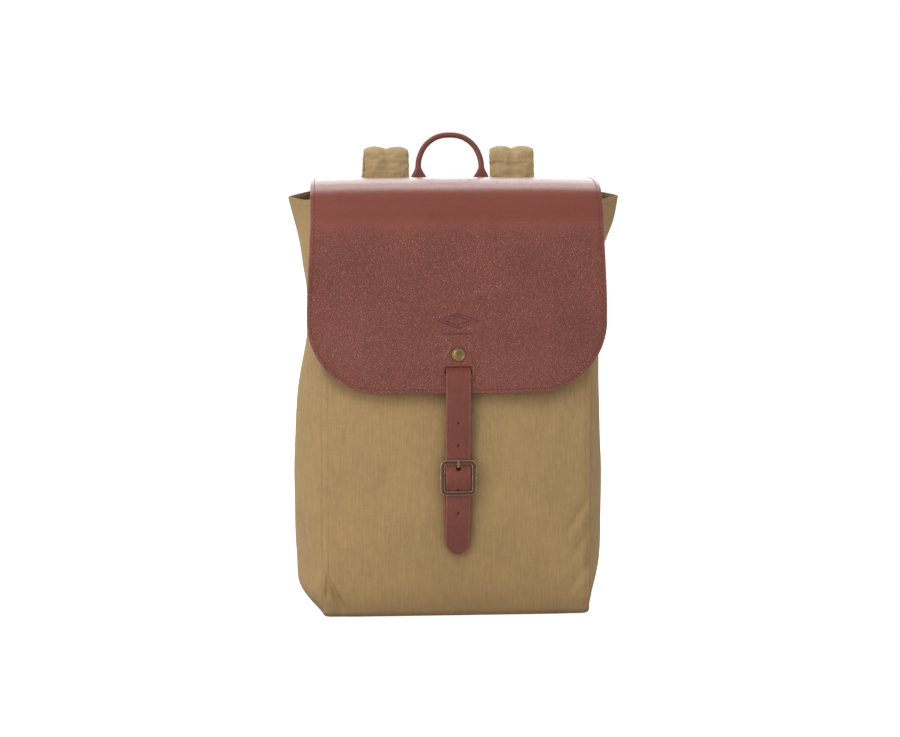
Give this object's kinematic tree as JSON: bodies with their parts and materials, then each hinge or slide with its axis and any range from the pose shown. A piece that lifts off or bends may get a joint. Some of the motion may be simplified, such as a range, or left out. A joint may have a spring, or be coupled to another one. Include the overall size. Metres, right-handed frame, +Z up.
{
  "type": "backpack",
  "caption": "Upright canvas backpack with a leather flap closed by a strap and a prong buckle, a rolled grab handle and padded shoulder straps.",
  "frame": {"origin": "centre of the base's underside", "axes": "+Z up, -Y towards the flap and buckle, +X to the viewer's right when the front is faced"},
  "size_m": [0.3184, 0.1867, 0.4605],
  "materials": {
    "canvas": "ribbed cotton canvas",
    "cotton": "plain cotton lining",
    "leather": "pebbled, waxed",
    "suede": "unfinished flesh side",
    "brass": "antiqued",
    "foam": "soft sheet foam",
    "board": "plain",
    "cord": "twisted cotton",
    "webbing": "flat woven"
  },
  "bodies": {
    "bag": {"front_panel": "canvas", "back_panel": "canvas", "gusset_left": "canvas", "gusset_right": "canvas", "base_panel": "canvas", "mouth_facing": "canvas", "lining": "cotton", "back_foam": "foam", "base_board": "board", "laptop_sleeve": "cotton", "sleeve_binding": "canvas", "back_yoke": "leather", "buckle_chape": "leather", "handle_tab_left": "leather", "handle_tab_right": "leather", "strap_root_left": "canvas", "strap_root_right": "canvas", "anchor_tab_left": "leather", "anchor_tab_right": "leather", "lower_loop_left": "brass", "lower_loop_right": "brass"},
    "flap_top": {"flap_leather_top": "leather", "flap_lining_top": "suede"},
    "flap_front": {"flap_leather_front": "leather", "flap_lining_front": "suede", "rivet_cap": "brass", "rivet_post": "brass"},
    "strap": {"closure_strap": "leather"},
    "buckle": {"buckle_frame": "brass"},
    "prong": {"buckle_prong": "brass"},
    "handle": {"grab_handle": "leather", "handle_core": "cord"},
    "shoulder_left": {"shoulder_pad_left": "canvas", "pad_foam_left": "foam", "webbing_left": "webbing"},
    "shoulder_right": {"shoulder_pad_right": "canvas", "pad_foam_right": "foam", "webbing_right": "webbing"},
    "slider_left": {"slider_left": "brass"},
    "slider_right": {"slider_right": "brass"}
  },
  "joints": [
    {"name": "flap_hinge", "type": "hinge", "parent": "bag", "child": "flap_top", "pos_m": [0, 0.0452, 0.4096], "axis": [-1, 0, 0], "range_deg": [0, 72]},
    {"name": "flap_fold", "type": "hinge", "parent": "flap_top", "child": "flap_front", "pos_m": [0, -0.0547, 0.408], "axis": [-1, 0, 0], "range_deg": [0, 80]},
    {"name": "strap_swing", "type": "hinge", "parent": "flap_front", "child": "strap", "pos_m": [0, -0.0804, 0.2453], "axis": [-1, 0, 0], "range_deg": [0, 70], "deforming": ["closure_strap"]},
    {"name": "buckle_pivot", "type": "hinge", "parent": "bag", "child": "buckle", "pos_m": [0, -0.0772, 0.141], "axis": [1, 0, 0], "range_deg": [-12, 12]},
    {"name": "prong_pivot", "type": "hinge", "parent": "buckle", "child": "prong", "pos_m": [0, -0.0772, 0.141], "axis": [1, 0, 0], "range_deg": [0, 95]},
    {"name": "handle_tilt", "type": "hinge", "parent": "bag", "child": "handle", "pos_m": [0, 0.0532, 0.4121], "axis": [-1, 0, 0], "range_deg": [0, 55]},
    {"name": "shoulder_left_swing", "type": "hinge", "parent": "bag", "child": "shoulder_left", "pos_m": [-0.106, 0.0648, 0.04], "axis": [0.1125, -0.0151, 0.9935], "range_deg": [0, 20], "deforming": ["shoulder_pad_left", "pad_foam_left", "webbing_left"]},
    {"name": "shoulder_right_swing", "type": "hinge", "parent": "bag", "child": "shoulder_right", "pos_m": [0.106, 0.0648, 0.04], "axis": [0.1125, 0.0151, -0.9935], "range_deg": [0, 20], "deforming": ["shoulder_pad_right", "pad_foam_right", "webbing_right"]},
    {"name": "slider_left_slide", "type": "slide", "parent": "shoulder_left", "child": "slider_left", "axis": [0.0544, 0.0874, 0.9947], "range_m": [-0.02, 0.055]},
    {"name": "slider_right_slide", "type": "slide", "parent": "shoulder_right", "child": "slider_right", "axis": [-0.0544, 0.0874, 0.9947], "range_m": [-0.02, 0.055]}
  ]
}
